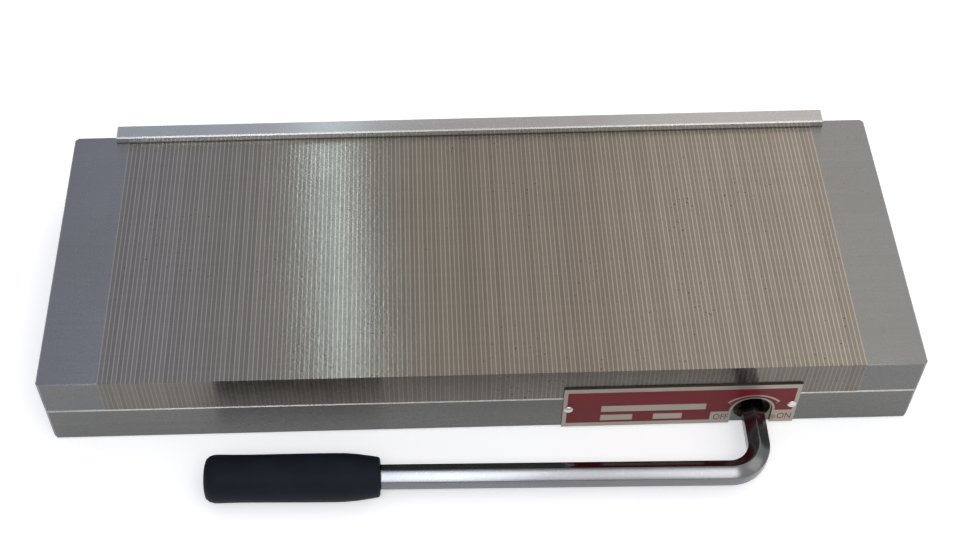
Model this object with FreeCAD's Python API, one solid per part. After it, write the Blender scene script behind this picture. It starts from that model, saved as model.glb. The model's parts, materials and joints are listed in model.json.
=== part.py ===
"""Permanent magnetic chuck with fine poles, switched by a hexagon key.

A laminated top plate, steel strips parted by brass, is screwed to a milled base. In the base's
pocket slides a pack of magnet tiles, magnetised in stripes at the pitch of the laminations. An
eccentric journal on the cam shaft moves the pack by half that pitch: with its stripes under the
steel strips it holds the work, and with them under the brass the laminations short it out.
The origin is the centre of the base's underside. +X runs along the length, with the cam near the
right-hand end, +Y runs from the front, where the key is, to the back stop, and +Z is up.
All sizes are in millimetres.
"""

import FreeCAD, Part
import math
import os

Vector = FreeCAD.Vector
X_AXIS, Y_AXIS, Z_AXIS = Vector(1, 0, 0), Vector(0, 1, 0), Vector(0, 0, 1)

# Overall form
LENGTH = 400.0
WIDTH = 150.0
FLOOR_THICKNESS = 5.0
POCKET_DEPTH = 19.0
TOP_PLATE_HEIGHT = 21.0
CORNER_CHAMFER = 1.5
TOP_EDGE_BREAK = 0.5
JOINT_EDGE_BREAK = 0.3
BASE_TOP_CHAMFER = 0.9
BASE_BOTTOM_CHAMFER = 1.2

# Walls of the base round the magnet pocket
END_WALL = 29.0
FRONT_WALL = 20.0
REAR_WALL = 16.0
POCKET_CORNER_RADIUS = 3.0

# Laminated zone of the top plate
STEEL_THICKNESS = 1.6
BRASS_THICKNESS = 0.5
END_BLOCK_LEAST_LENGTH = 27.5

# Back stop rail, seated in a rebate along the rear of the top plate
RAIL_REBATE = 4.5
RAIL_THICKNESS = 8.5
RAIL_OVERLAP = 6.0
RAIL_PROUD = 4.0
RAIL_EDGE_BREAK = 0.6
RAIL_END_GAP = 0.2
RAIL_FOOT_GAP = 0.3

# Cam shaft, its bush and its dog-point screw
CAM_FROM_RIGHT_END = 74.5
CAM_HEIGHT = 11.5
CAM_BORE_RADIUS = 8.5
BUSH_WALL = 1.0
BUSH_LENGTH = 10.0
BUSH_INSET = 3.0
SHAFT_RUNNING_CLEARANCE = 0.04
SHAFT_INSET = 3.5
SOCKET_DEPTH = 10.5
JOURNAL_RADIUS = 4.0
JOURNAL_END_CLEARANCE = 0.5
STOP_GROOVE_WIDTH = 2.5
STOP_GROOVE_DEPTH = 1.5
STOP_GROOVE_FROM_POCKET = 3.75
STOP_GROOVE_END_PLAY = 0.1
DOG_SCREW_RADIUS = 2.0
DOG_RADIUS = 1.1
DOG_TIP_CLEARANCE = 0.3
DOG_SCREW_BELOW_JOINT = 0.4
DOG_SCREW_LENGTH = 4.2

# Hexagon key and its grip
KEY_ACROSS_FLATS = 10.0
KEY_SOCKET_CLEARANCE = 0.1
KEY_TIP_CHAMFER = 0.6
KEY_ENTRY = 10.0
KEY_STANDOFF = 34.0
KEY_BEND_RADIUS = 14.5
KEY_BEND_ANGLE = 90.9
KEY_LONG_LEG = 236.8
GRIP_LENGTH = 79.0
GRIP_WALL_AT_END = 9.0
GRIP_NOSE_RADIUS = 9.0
GRIP_RADIUS = 11.0
GRIP_NOSE_BREAK = 0.8
GRIP_TAPER_LENGTH = 16.0
GRIP_END_ROUND = 3.0

# Magnet pack: magnet tiles on a steel keeper, in a milled frame
PACK_RUNNING_CLEARANCE = 0.1
PACK_TOP_CLEARANCE = 0.2
PACK_SIDE_CLEARANCE = 0.25
PACK_END_CLEARANCE = 1.0
FRAME_SIDE = 8.0
FRAME_END = 5.0
FRAME_CORNER_CHAMFER = 2.0
KEEPER_THICKNESS = 6.0
MAGNET_TILE_PITCHES = 26
MAGNET_JOINT_GAP = 0.1
FORK_LEG = 4.0
FORK_PLAY = 0.15
FORK_HEADROOM = 0.3
FORK_CROWN = 4.0
SLIDE_STRIP_WIDTH = 12.0
SLIDE_STRIP_PROUD = 1.5
SLIDE_STRIP_SEAT = 1.0
SLIDE_STRIP_END_GAP = 6.0
SLIDE_STRIP_FROM_WALL = 16.0

# Nameplate and its rivets
PLATE_LENGTH = 108.5
PLATE_BREADTH = 31.0
PLATE_THICKNESS = 0.9
PLATE_FOOT = 1.0
PLATE_RIGHT_OF_CAM = 20.5
PLATE_ARCH_RADIUS = 9.5
RIVET_FROM_PLATE_END = 2.6
RIVET_HEIGHT = 15.75
RIVET_HEAD_RADIUS = 2.2
RIVET_HEAD_HEIGHT = 1.1
RIVET_SHANK_RADIUS = 1.2
RIVET_SHANK_LENGTH = 5.0

# Countersunk socket screws of the top plate and of the rail
PLATE_SCREW_RADIUS = 3.0
PLATE_SCREW_HEAD_RADIUS = 6.0
PLATE_SCREW_LENGTH = 36.0
PLATE_SCREW_SOCKET = 4.0
PLATE_SCREW_SOCKET_DEPTH = 2.5
PLATE_SCREW_FROM_SIDE = 14.0
PLATE_SCREW_FROM_END = 14.5
PLATE_SCREW_HOLE_CLEARANCE = 0.3
RAIL_SCREW_RADIUS = 2.5
RAIL_SCREW_HEAD_RADIUS = 5.0
RAIL_SCREW_LENGTH = 18.0
RAIL_SCREW_SOCKET = 3.0
RAIL_SCREW_SOCKET_DEPTH = 2.0
RAIL_SCREW_SPACING = 220.5
RAIL_SCREW_HOLE_CLEARANCE = 0.25
TAPPED_HOLE_SPARE = 2.0

# Clamping grooves in the end faces
GROOVE_HEIGHT = 8.0
GROOVE_DEPTH = 7.0
GROOVE_LENGTH = 80.0
GROOVE_FOOT = 8.0

# Worked out from the sizes above
BASE_HEIGHT = FLOOR_THICKNESS + POCKET_DEPTH
TOTAL_HEIGHT = BASE_HEIGHT + TOP_PLATE_HEIGHT
FRONT, REAR = -WIDTH / 2, WIDTH / 2
END = LENGTH / 2
PITCH = STEEL_THICKNESS + BRASS_THICKNESS
STEEL_COUNT = 2 * int((END - END_BLOCK_LEAST_LENGTH - BRASS_THICKNESS / 2) / PITCH)
STACK_LENGTH = STEEL_COUNT * PITCH + BRASS_THICKNESS
STACK_REAR = REAR - RAIL_REBATE
POCKET_END = END - END_WALL
POCKET_FRONT = FRONT + FRONT_WALL
POCKET_REAR = REAR - REAR_WALL
RAIL_BACK = STACK_REAR + RAIL_THICKNESS
RAIL_END = STACK_LENGTH / 2 + RAIL_OVERLAP
RAIL_SCREW_HEIGHT = BASE_HEIGHT + TOP_PLATE_HEIGHT / 2
CAM_X = END - CAM_FROM_RIGHT_END
CAM_AXIS = Vector(CAM_X, FRONT, CAM_HEIGHT)
SHAFT_RADIUS = CAM_BORE_RADIUS - BUSH_WALL - SHAFT_RUNNING_CLEARANCE
STOP_GROOVE_Y = POCKET_FRONT - STOP_GROOVE_FROM_POCKET
PACK_STROKE = PITCH / 2
ECCENTRICITY = PACK_STROKE / 2
PACK_OFF_SHIFT = -PACK_STROKE
PACK_FRONT = POCKET_FRONT + PACK_SIDE_CLEARANCE
PACK_REAR = POCKET_REAR - PACK_SIDE_CLEARANCE
PACK_BOTTOM = FLOOR_THICKNESS + SLIDE_STRIP_PROUD + PACK_RUNNING_CLEARANCE
PACK_TOP = BASE_HEIGHT - PACK_TOP_CLEARANCE
MAGNET_ROOM = POCKET_END - PACK_END_CLEARANCE - PACK_STROKE - FRAME_END
MAGNET_TILE_LENGTH = MAGNET_TILE_PITCHES * PITCH
MAGNET_TILE_COUNT = int(2 * MAGNET_ROOM / MAGNET_TILE_LENGTH)
MAGNETS_END = MAGNET_TILE_COUNT * MAGNET_TILE_LENGTH / 2
FORK_MIDDLE = CAM_X - ECCENTRICITY
FORK_HALF_WIDTH = JOURNAL_RADIUS + FORK_PLAY + FORK_LEG
FORK_SLOT_TOP = CAM_HEIGHT + JOURNAL_RADIUS + ECCENTRICITY + FORK_HEADROOM
PLATE_RIGHT = CAM_X + PLATE_RIGHT_OF_CAM
PLATE_LEFT = PLATE_RIGHT - PLATE_LENGTH


def box(x_span, y_span, z_span):
    """A block between two values along each axis."""
    size = [high - low for low, high in (x_span, y_span, z_span)]
    return Part.makeBox(*size, Vector(x_span[0], y_span[0], z_span[0]))


def rod(radius, start, direction, length):
    return Part.makeCylinder(radius, length, start, direction)


def placed(shape, point, direction):
    """A shape drawn along +Z, moved so that its origin is at a point and its +Z lies along a direction."""
    turned = shape.copy()
    turned.Placement = FreeCAD.Placement(point, FreeCAD.Rotation(Z_AXIS, direction))
    return turned


def edges_where(shape, test):
    return [edge for edge in shape.Edges if test(edge)]


def is_upright(edge):
    start, end = edge.Vertexes[0].Point, edge.Vertexes[-1].Point
    return abs(start.x - end.x) + abs(start.y - end.y) < 1e-6 < abs(start.z - end.z)


def lies_at_height(edge, height):
    return all(abs(vertex.Z - height) < 1e-6 for vertex in edge.Vertexes)


def hexagon(across_flats, centre, right, up):
    """A hexagonal face with a corner along up and a flat along right."""
    reach = across_flats / math.sqrt(3)
    corners = []
    for step in range(7):
        angle = math.radians(30 + 60 * step)
        corners.append(centre + right * (reach * math.cos(angle)) + up * (reach * math.sin(angle)))
    return Part.Face(Part.makePolygon(corners))


def countersunk_screw(radius, head_radius, length, clearance=0):
    """A countersunk screw, its flat head at the origin and its shank along +Z. A clearance makes its hole."""
    head_height = head_radius - radius
    cone = Part.makeCone(head_radius, radius, head_height)
    return cone.fuse(rod(radius + clearance, Vector(0, 0, 0), Z_AXIS, length)).removeSplitter()


def socket_in_head(across_flats, depth):
    return hexagon(across_flats, Vector(0, 0, 0), X_AXIS, Y_AXIS).extrude(Z_AXIS * depth)


def nearest_steel(distance):
    """The middle of the steel lamination nearest to a distance from the middle of the plate."""
    return (round(distance / PITCH - 0.5) + 0.5) * PITCH


def plate_screw_points():
    """Where the screws of the top plate stand on the underside: one near each corner."""
    x, y = END - PLATE_SCREW_FROM_END, REAR - PLATE_SCREW_FROM_SIDE
    return [Vector(x_side * x, y_side * y, 0) for x_side in (-1, 1) for y_side in (-1, 1)]


def rail_screw_points():
    """Where the screws of the rail lie in its rear face, each in line with a steel lamination."""
    x = nearest_steel(RAIL_SCREW_SPACING / 2)
    return [Vector(side * x, RAIL_BACK, RAIL_SCREW_HEIGHT) for side in (-1, 1)]


def rail_tapped_holes():
    """The threaded holes that the rail's screws have in the rear of the laminations."""
    depth = RAIL_SCREW_LENGTH - RAIL_THICKNESS + TAPPED_HOLE_SPARE
    starts = [point - Y_AXIS * RAIL_THICKNESS for point in rail_screw_points()]
    return [rod(RAIL_SCREW_RADIUS, start, -Y_AXIS, depth) for start in starts]


def magnet_pocket():
    pocket = box((-POCKET_END, POCKET_END), (POCKET_FRONT, POCKET_REAR), (FLOOR_THICKNESS, BASE_HEIGHT))
    return pocket.makeFillet(POCKET_CORNER_RADIUS, edges_where(pocket, is_upright))


def clamping_groove(side):
    """A blind slot with round ends in one end face, for the toes of clamps."""
    radius = GROOVE_HEIGHT / 2
    half = GROOVE_LENGTH / 2 - radius
    inner, middle = side * (END - GROOVE_DEPTH), GROOVE_FOOT + radius
    x_span = sorted((inner, side * END))
    slot = box(x_span, (-half, half), (GROOVE_FOOT, GROOVE_FOOT + GROOVE_HEIGHT))
    for y in (-half, half):
        slot = slot.fuse(rod(radius, Vector(x_span[0], y, middle), X_AXIS, GROOVE_DEPTH))
    return slot


def slide_strip(y):
    """A wear strip along the pocket's floor, let into a shallow seat."""
    reach = POCKET_END - SLIDE_STRIP_END_GAP
    low = FLOOR_THICKNESS - SLIDE_STRIP_SEAT
    half = SLIDE_STRIP_WIDTH / 2
    return box((-reach, reach), (y - half, y + half), (low, FLOOR_THICKNESS + SLIDE_STRIP_PROUD))


def slide_strip_rows():
    return (POCKET_FRONT + SLIDE_STRIP_FROM_WALL, POCKET_REAR - SLIDE_STRIP_FROM_WALL)


def rivet_points():
    left, right = PLATE_LEFT + RIVET_FROM_PLATE_END, PLATE_RIGHT - RIVET_FROM_PLATE_END
    return [Vector(x, FRONT, RIVET_HEIGHT) for x in (left, right)]


def dog_screw_top():
    return Vector(CAM_X, STOP_GROOVE_Y, BASE_HEIGHT - DOG_SCREW_BELOW_JOINT)


def base_housing():
    """The milled base: pocket, cam bore, screw holes from below and clamping grooves."""
    body = box((-END, END), (FRONT, REAR), (0, BASE_HEIGHT))
    body = body.makeChamfer(CORNER_CHAMFER, edges_where(body, is_upright))
    body = body.makeChamfer(BASE_BOTTOM_CHAMFER, edges_where(body, lambda e: lies_at_height(e, 0)))
    body = body.makeChamfer(BASE_TOP_CHAMFER, edges_where(body, lambda e: lies_at_height(e, BASE_HEIGHT)))
    cuts = [magnet_pocket(), clamping_groove(-1), clamping_groove(1)]
    cuts.append(rod(CAM_BORE_RADIUS, CAM_AXIS, Y_AXIS, FRONT_WALL))
    cuts.append(rod(DOG_SCREW_RADIUS, Vector(CAM_X, STOP_GROOVE_Y, CAM_HEIGHT), Z_AXIS, BASE_HEIGHT))
    for point in plate_screw_points():
        hole = countersunk_screw(
            PLATE_SCREW_RADIUS, PLATE_SCREW_HEAD_RADIUS, BASE_HEIGHT, PLATE_SCREW_HOLE_CLEARANCE
        )
        cuts.append(placed(hole, point, Z_AXIS))
    cuts += [slide_strip(y) for y in slide_strip_rows()]
    cuts += [rod(RIVET_SHANK_RADIUS, point, Y_AXIS, RIVET_SHANK_LENGTH) for point in rivet_points()]
    return body.cut(cuts)


def end_block(side):
    """A solid steel block that closes one end of the laminated zone, notched for the rail."""
    x_span = sorted((side * STACK_LENGTH / 2, side * END))
    body = box(x_span, (FRONT, REAR), (BASE_HEIGHT, TOTAL_HEIGHT))
    outer = edges_where(body, lambda e: is_upright(e) and abs(e.Vertexes[0].X - side * END) < 1e-6)
    body = body.makeChamfer(CORNER_CHAMFER, outer)

    def on_outline(edge, height):
        inside = all(abs(v.X - side * STACK_LENGTH / 2) < 1e-6 for v in edge.Vertexes)
        return lies_at_height(edge, height) and not inside

    body = body.makeChamfer(TOP_EDGE_BREAK, edges_where(body, lambda e: on_outline(e, TOTAL_HEIGHT)))
    body = body.makeChamfer(JOINT_EDGE_BREAK, edges_where(body, lambda e: on_outline(e, BASE_HEIGHT)))
    notch_span = sorted((side * STACK_LENGTH / 2, side * (RAIL_END + RAIL_END_GAP)))
    notch = box(notch_span, (STACK_REAR, REAR), (BASE_HEIGHT, TOTAL_HEIGHT))
    depth = PLATE_SCREW_LENGTH + TAPPED_HOLE_SPARE
    tapped = [rod(PLATE_SCREW_RADIUS, point, Z_AXIS, depth) for point in plate_screw_points()]
    return body.cut([notch] + tapped)


def strips(thickness, centres):
    """Thin upright strips of the top plate, drilled where a screw of the rail crosses them."""
    solids = []
    holes = rail_tapped_holes()
    for centre in centres:
        x_span = (centre - thickness / 2, centre + thickness / 2)
        strip = box(x_span, (FRONT, STACK_REAR), (BASE_HEIGHT, TOTAL_HEIGHT))
        crossing = [h for h in holes if h.BoundBox.XMin < x_span[1] and h.BoundBox.XMax > x_span[0]]
        solids.append(strip.cut(crossing) if crossing else strip)
    return Part.makeCompound(solids)


def steel_laminations():
    first = -(STEEL_COUNT - 1) * PITCH / 2
    return strips(STEEL_THICKNESS, [first + number * PITCH for number in range(STEEL_COUNT)])


def brass_separators():
    first = -STEEL_COUNT * PITCH / 2
    return strips(BRASS_THICKNESS, [first + number * PITCH for number in range(STEEL_COUNT + 1)])


def back_stop_rail():
    """The stop along the rear edge, held by countersunk screws from behind."""
    foot, top = BASE_HEIGHT + RAIL_FOOT_GAP, TOTAL_HEIGHT + RAIL_PROUD
    rail = box((-RAIL_END, RAIL_END), (STACK_REAR, RAIL_BACK), (foot, top))
    rail = rail.makeChamfer(RAIL_EDGE_BREAK, edges_where(rail, lambda e: lies_at_height(e, top)))
    hole = countersunk_screw(
        RAIL_SCREW_RADIUS, RAIL_SCREW_HEAD_RADIUS, RAIL_THICKNESS, RAIL_SCREW_HOLE_CLEARANCE
    )
    return rail.cut([placed(hole, point, -Y_AXIS) for point in rail_screw_points()])


def plate_screws():
    screw = countersunk_screw(PLATE_SCREW_RADIUS, PLATE_SCREW_HEAD_RADIUS, PLATE_SCREW_LENGTH)
    screw = screw.cut(socket_in_head(PLATE_SCREW_SOCKET, PLATE_SCREW_SOCKET_DEPTH))
    return Part.makeCompound([placed(screw, point, Z_AXIS) for point in plate_screw_points()])


def rail_screws():
    screw = countersunk_screw(RAIL_SCREW_RADIUS, RAIL_SCREW_HEAD_RADIUS, RAIL_SCREW_LENGTH)
    screw = screw.cut(socket_in_head(RAIL_SCREW_SOCKET, RAIL_SCREW_SOCKET_DEPTH))
    return Part.makeCompound([placed(screw, point, -Y_AXIS) for point in rail_screw_points()])


def nameplate():
    """The thin plate on the front face, with an arch round the cam bore that is open at the foot."""
    back, face = FRONT, FRONT - PLATE_THICKNESS
    head = PLATE_FOOT + PLATE_BREADTH
    plate = box((PLATE_LEFT, PLATE_RIGHT), (face, back), (PLATE_FOOT, head))
    arch = rod(PLATE_ARCH_RADIUS, Vector(CAM_X, face, CAM_HEIGHT), Y_AXIS, PLATE_THICKNESS)
    sides = (CAM_X - PLATE_ARCH_RADIUS, CAM_X + PLATE_ARCH_RADIUS)
    opening = arch.fuse(box(sides, (face, back), (PLATE_FOOT, CAM_HEIGHT)))
    holes = [rod(RIVET_SHANK_RADIUS, point, -Y_AXIS, PLATE_THICKNESS) for point in rivet_points()]
    return plate.cut([opening] + holes)


def nameplate_rivets():
    """Drive rivets with low heads that lie on the plate."""
    head = rod(RIVET_HEAD_RADIUS, Vector(0, 0, 0), Z_AXIS, RIVET_HEAD_HEIGHT)
    length = RIVET_SHANK_LENGTH + PLATE_THICKNESS
    rivet = head.fuse(rod(RIVET_SHANK_RADIUS, Vector(0, 0, 0), -Z_AXIS, length)).removeSplitter()
    seats = [point - Y_AXIS * PLATE_THICKNESS for point in rivet_points()]
    return Part.makeCompound([placed(rivet, seat, -Y_AXIS) for seat in seats])


def cam_bush():
    """The wrapped bronze bush that carries the cam shaft."""
    front = CAM_AXIS + Y_AXIS * BUSH_INSET
    outer = rod(CAM_BORE_RADIUS, front, Y_AXIS, BUSH_LENGTH)
    return outer.cut(rod(CAM_BORE_RADIUS - BUSH_WALL, front, Y_AXIS, BUSH_LENGTH))


def stop_groove():
    """Half a ring round the shaft, in which the dog runs: its two ends stop the shaft at OFF and at ON."""
    start = Vector(CAM_X, STOP_GROOVE_Y - STOP_GROOVE_WIDTH / 2, CAM_HEIGHT)
    ring = rod(SHAFT_RADIUS + BUSH_WALL, start, Y_AXIS, STOP_GROOVE_WIDTH)
    ring = ring.cut(rod(SHAFT_RADIUS - STOP_GROOVE_DEPTH, start, Y_AXIS, STOP_GROOVE_WIDTH))
    reach = SHAFT_RADIUS + BUSH_WALL
    x_span = (CAM_X - reach, CAM_X + DOG_RADIUS + STOP_GROOVE_END_PLAY)
    y_span = (start.y, start.y + STOP_GROOVE_WIDTH)
    return ring.common(box(x_span, y_span, (CAM_HEIGHT - reach, CAM_HEIGHT + reach)))


def cam_shaft():
    """The cam shaft: a hexagon socket in its front end and an eccentric journal on its inner end."""
    front = CAM_AXIS + Y_AXIS * SHAFT_INSET
    shaft = rod(SHAFT_RADIUS, front, Y_AXIS, FRONT_WALL - SHAFT_INSET)
    inner = Vector(CAM_X - ECCENTRICITY, POCKET_FRONT, CAM_HEIGHT)
    length = PACK_SIDE_CLEARANCE + FRAME_SIDE - JOURNAL_END_CLEARANCE
    journal = rod(JOURNAL_RADIUS, inner, Y_AXIS, length)
    across = KEY_ACROSS_FLATS + 2 * KEY_SOCKET_CLEARANCE
    socket = hexagon(across, front, X_AXIS, Z_AXIS).extrude(Y_AXIS * SOCKET_DEPTH)
    return shaft.fuse(journal).cut([socket, stop_groove()])


def dog_screw():
    """The set screw above the shaft, with a dog that holds it endways and stops its turn."""
    top = dog_screw_top()
    groove_floor = CAM_HEIGHT + SHAFT_RADIUS - STOP_GROOVE_DEPTH
    screw = rod(DOG_SCREW_RADIUS, top, -Z_AXIS, DOG_SCREW_LENGTH)
    dog = rod(DOG_RADIUS, top, -Z_AXIS, top.z - groove_floor - DOG_TIP_CLEARANCE)
    return screw.fuse(dog)


def key_long_direction():
    angle = math.radians(KEY_BEND_ANGLE)
    return Vector(-math.sin(angle), -math.cos(angle), 0)


def key_bend_end():
    """The middle of the key's section where its long leg leaves the bend."""
    centre = Vector(CAM_X - KEY_BEND_RADIUS, FRONT + KEY_BEND_RADIUS - KEY_STANDOFF, CAM_HEIGHT)
    angle = math.radians(KEY_BEND_ANGLE)
    return centre + Vector(math.cos(angle), -math.sin(angle), 0) * KEY_BEND_RADIUS


def hex_key():
    """The bent hexagon key, its corners upright: short leg in the socket, long leg across the front."""
    tip = CAM_AXIS + Y_AXIS * (SHAFT_INSET + KEY_ENTRY)
    bend_y = FRONT + KEY_BEND_RADIUS - KEY_STANDOFF
    short_leg = hexagon(KEY_ACROSS_FLATS, tip, X_AXIS, Z_AXIS).extrude(Y_AXIS * (bend_y - tip.y))
    start = Vector(CAM_X, bend_y, CAM_HEIGHT)
    bend_centre = start - X_AXIS * KEY_BEND_RADIUS
    section = hexagon(KEY_ACROSS_FLATS, start, X_AXIS, Z_AXIS)
    bend = section.revolve(bend_centre, -Z_AXIS, KEY_BEND_ANGLE)
    direction = key_long_direction()
    across = Vector(-direction.y, direction.x, 0)
    leg_length = KEY_LONG_LEG - GRIP_WALL_AT_END
    leg_section = hexagon(KEY_ACROSS_FLATS, key_bend_end(), across, Z_AXIS)
    long_leg = leg_section.extrude(direction * leg_length)
    key = short_leg.fuse([bend, long_leg]).removeSplitter()
    return key.makeChamfer(KEY_TIP_CHAMFER, edges_where(key, lambda e: lies_across(e, tip, Y_AXIS)))


def lies_across(edge, point, direction):
    """True if the edge lies in the plane through a point, square to a direction."""
    return all(abs((vertex.Point - point).dot(direction)) < 1e-6 for vertex in edge.Vertexes)


def key_grip():
    """The moulded grip on the long leg: a tapered nose and a rounded end."""
    turn = GRIP_END_ROUND * (1 - math.sqrt(0.5))
    profile = [
        (0, 0),
        (GRIP_NOSE_RADIUS - GRIP_NOSE_BREAK, 0),
        (GRIP_NOSE_RADIUS, GRIP_NOSE_BREAK),
        (GRIP_RADIUS, GRIP_TAPER_LENGTH),
        (GRIP_RADIUS, GRIP_LENGTH - GRIP_END_ROUND),
        (GRIP_RADIUS - turn, GRIP_LENGTH - turn),
        (GRIP_RADIUS - GRIP_END_ROUND, GRIP_LENGTH),
        (0, GRIP_LENGTH),
        (0, 0),
    ]
    outline = Part.makePolygon([Vector(radius, 0, height) for radius, height in profile])
    grip = Part.Face(outline).revolve(Vector(0, 0, 0), Z_AXIS, 360)
    direction = key_long_direction()
    start = key_bend_end() + direction * (KEY_LONG_LEG - GRIP_LENGTH)
    return placed(grip, start, direction).cut(hex_key())


def pack_window():
    """The inside of the pack's frame at OFF, as spans along X and Y."""
    x_span = (PACK_OFF_SHIFT - MAGNETS_END, PACK_OFF_SHIFT + MAGNETS_END)
    return x_span, (PACK_FRONT + FRAME_SIDE, PACK_REAR - FRAME_SIDE)


def pack_frame():
    """The milled frame round the keeper and the magnets, notched in front for the follower fork."""
    reach = MAGNETS_END + FRAME_END
    x_span = (PACK_OFF_SHIFT - reach, PACK_OFF_SHIFT + reach)
    body = box(x_span, (PACK_FRONT, PACK_REAR), (PACK_BOTTOM, PACK_TOP))
    body = body.makeChamfer(FRAME_CORNER_CHAMFER, edges_where(body, is_upright))
    window = box(*pack_window(), (PACK_BOTTOM, PACK_TOP))
    return body.cut([window, fork_outline()])


def pack_keeper():
    """The steel plate that the magnet tiles lie on."""
    return box(*pack_window(), (PACK_BOTTOM, PACK_BOTTOM + KEEPER_THICKNESS))


def magnet_tiles():
    """A row of magnet tiles bonded to the keeper, each as long as a whole number of pole pitches."""
    y_span = pack_window()[1]
    z_span = (PACK_BOTTOM + KEEPER_THICKNESS, PACK_TOP)
    tiles = []
    for number in range(MAGNET_TILE_COUNT):
        start = PACK_OFF_SHIFT - MAGNETS_END + number * MAGNET_TILE_LENGTH
        half_gap = MAGNET_JOINT_GAP / 2
        tiles.append(box((start + half_gap, start + MAGNET_TILE_LENGTH - half_gap), y_span, z_span))
    return Part.makeCompound(tiles)


def fork_outline():
    x_span = (FORK_MIDDLE - FORK_HALF_WIDTH, FORK_MIDDLE + FORK_HALF_WIDTH)
    y_span = (PACK_FRONT, PACK_FRONT + FRAME_SIDE)
    return box(x_span, y_span, (PACK_BOTTOM, FORK_SLOT_TOP + FORK_CROWN))


def follower_fork():
    """The bronze fork that straddles the eccentric journal, its slot tall enough for the journal's rise."""
    half = JOURNAL_RADIUS + FORK_PLAY
    y_span = (PACK_FRONT, PACK_FRONT + FRAME_SIDE)
    slot = box((FORK_MIDDLE - half, FORK_MIDDLE + half), y_span, (PACK_BOTTOM, FORK_SLOT_TOP))
    return fork_outline().cut(slot)


NODES = {
    "base_housing": base_housing,
    "end_block_left": lambda: end_block(-1),
    "end_block_right": lambda: end_block(1),
    "steel_laminations": steel_laminations,
    "brass_separators": brass_separators,
    "back_stop_rail": back_stop_rail,
    "plate_screws": plate_screws,
    "rail_screws": rail_screws,
    "nameplate": nameplate,
    "nameplate_rivets": nameplate_rivets,
    "slide_strip_front": lambda: slide_strip(slide_strip_rows()[0]),
    "slide_strip_rear": lambda: slide_strip(slide_strip_rows()[1]),
    "cam_bush": cam_bush,
    "dog_screw": dog_screw,
    "cam_shaft": cam_shaft,
    "hex_key": hex_key,
    "key_grip": key_grip,
    "pack_frame": pack_frame,
    "pack_keeper": pack_keeper,
    "magnet_tiles": magnet_tiles,
    "follower_fork": follower_fork,
}


def main():
    os.makedirs("parts", exist_ok=True)
    for name, make in NODES.items():
        shape = make()
        solids = shape.Solids
        print(name, len(solids), "solids, volume", round(sum(s.Volume for s in solids), 1), shape.isValid())
        shape.exportStep("parts/" + name + ".step")


main()
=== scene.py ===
"""Magnetic chuck: the finishes, the printed nameplate, the switching key and its grip, and the studio."""

import json
import math

import bpy
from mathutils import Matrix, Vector


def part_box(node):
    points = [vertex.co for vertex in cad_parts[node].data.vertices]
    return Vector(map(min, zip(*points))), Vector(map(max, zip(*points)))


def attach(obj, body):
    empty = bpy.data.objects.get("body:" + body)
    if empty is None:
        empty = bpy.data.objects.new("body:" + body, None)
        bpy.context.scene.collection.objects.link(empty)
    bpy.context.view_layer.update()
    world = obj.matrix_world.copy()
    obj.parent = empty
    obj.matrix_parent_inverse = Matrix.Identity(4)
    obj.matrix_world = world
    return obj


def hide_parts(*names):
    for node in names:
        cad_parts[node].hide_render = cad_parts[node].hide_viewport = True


bl_info = {
    "name": "Magnetic chuck",
    "version": (1, 0, 0),
    "blender": (4, 5, 0),
    "location": "View3D > Sidebar > Chuck",
    "description": "Builds the looks of a fine-pole magnetic chuck round its solid parts",
    "category": "Object",
}

MM = 0.001
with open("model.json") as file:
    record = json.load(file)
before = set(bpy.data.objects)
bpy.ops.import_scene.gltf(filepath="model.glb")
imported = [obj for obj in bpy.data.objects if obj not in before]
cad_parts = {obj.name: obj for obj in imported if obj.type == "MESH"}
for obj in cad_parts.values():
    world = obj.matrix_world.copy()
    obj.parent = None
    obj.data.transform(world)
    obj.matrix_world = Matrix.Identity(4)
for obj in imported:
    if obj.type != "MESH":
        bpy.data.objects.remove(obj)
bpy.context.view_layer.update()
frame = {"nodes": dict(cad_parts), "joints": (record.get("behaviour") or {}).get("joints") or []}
NODES = frame["nodes"]

CAM_JOINT = next(joint for joint in frame["joints"] if joint["name"] == "cam_turn")
CAM_X, _, CAM_Z = CAM_JOINT["pos_m"]
PLATE_LOW, PLATE_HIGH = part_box("nameplate")
BASE_LOW, BASE_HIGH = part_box("base_housing")
KEY_TIP_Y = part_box("hex_key")[1].y
RAIL_FRONT_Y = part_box("back_stop_rail")[0].y
FACE_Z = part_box("steel_laminations")[1].z

# The bare panels of the nameplate: left, right, bottom and top, in millimetres along the chuck and up.
TITLE_PANEL = (55.3, 103.8, 12.9, 17.9)
MODEL_PANEL = (55.3, 70.2, 5.7, 10.4)
DATE_PANEL = (79.9, 93.3, 5.7, 10.4)
OFF_PANEL = (106.5, CAM_X / MM, 2.0, 10.7)
ON_PANEL = (134.4, PLATE_HIGH.x / MM, 2.0, 11.0)

# The switch words: text, middle along the chuck, middle height and width, in millimetres.
OFF_WORD = ("OFF", 111.6, 6.3, 7.0)
ON_WORD = ("ON", 141.3, 5.9, 6.4)

# The painted highlight on the base's upper edge, the painted shadow on the rail's foot and the glue on the
# nameplate.
EDGE_HEIGHT = 1.15 * MM
EDGE_DEPTH = 1.2 * MM
FOOT_SHADOW_TOP = 1.0 * MM
FOOT_SHADOW_FULL = 0.4 * MM
GLUE_CENTRE = (CAM_X + 9.8 * MM, PLATE_LOW.y, 5.0 * MM)
GLUE_EDGE = 3.4 * MM
GLUE_CORE = 2.2 * MM

# The turning arrow: how far each half sweeps, and how its line grows to a head and runs to a point.
ARROW_SWEEP = math.radians(50)
HEAD_STEP = 0.02 * MM
HEAD_LENGTH = 1.9 * MM
HEAD_SPREAD = 3.0
HEAD_POINT = 0.05

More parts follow.
